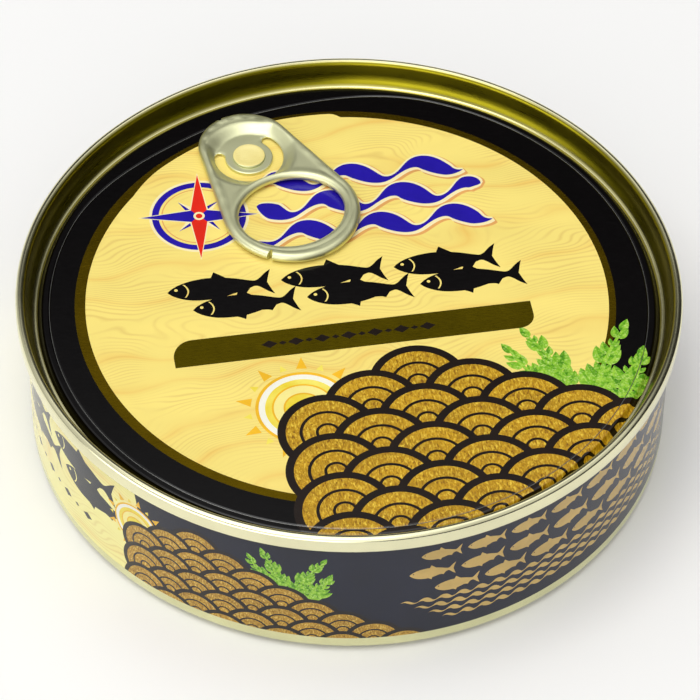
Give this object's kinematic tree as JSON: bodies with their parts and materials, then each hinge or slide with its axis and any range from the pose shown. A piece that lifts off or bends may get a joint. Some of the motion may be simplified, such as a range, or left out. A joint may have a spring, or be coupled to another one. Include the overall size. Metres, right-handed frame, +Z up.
{
  "type": "fish tin",
  "caption": "Shallow round easy-open fish tin, sealed, with a double seam, a flat scored end and a riveted ring-pull tab.",
  "frame": {"origin": "centre of the foot, on the table", "axes": "+Z up along the tin's axis; the tab's nose lies 118 degrees round from +X, towards the back, and its tail points at the axis"},
  "size_m": [0.1023, 0.1022, 0.0276],
  "materials": {
    "printed_body": "lacquered tinplate with a printed band, bare pale metal at the foot",
    "printed_end": "gloss lacquered end with a printed field, pale gold seam",
    "tab_metal": "satin stamped metal"
  },
  "bodies": {
    "root": {"can_body": "printed_body", "lid": "printed_end", "ring_pull": "tab_metal"}
  },
  "joints": []
}
